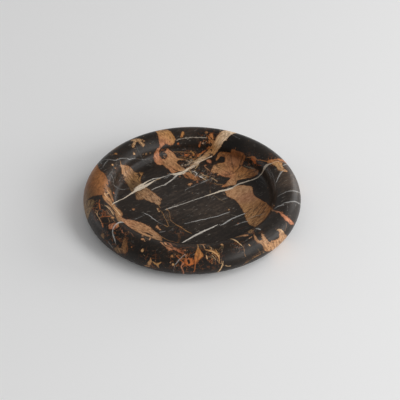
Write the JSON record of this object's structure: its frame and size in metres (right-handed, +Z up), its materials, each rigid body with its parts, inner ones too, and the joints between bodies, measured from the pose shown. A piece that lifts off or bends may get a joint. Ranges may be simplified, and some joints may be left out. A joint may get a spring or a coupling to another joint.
{
  "type": "serving tray",
  "caption": "Low round stone tray with a thick full-round rim, a coved inner wall and a flat floor, standing on small felt pads.",
  "frame": {"origin": "centre of the footprint, on the plane of the pads' undersides that the tray stands on", "axes": "+Z up along the tray's axis of revolution, -Y towards the picture's viewer, +X to the viewer's right"},
  "size_m": [0.3, 0.3, 0.0413],
  "materials": {
    "stone": "honed black marble with gold and tan patches and white veins",
    "felt": "pressed charcoal felt"
  },
  "bodies": {
    "root": {"tray_body": "stone", "felt_pad_1": "felt", "felt_pad_2": "felt", "felt_pad_3": "felt", "felt_pad_4": "felt"}
  },
  "joints": []
}
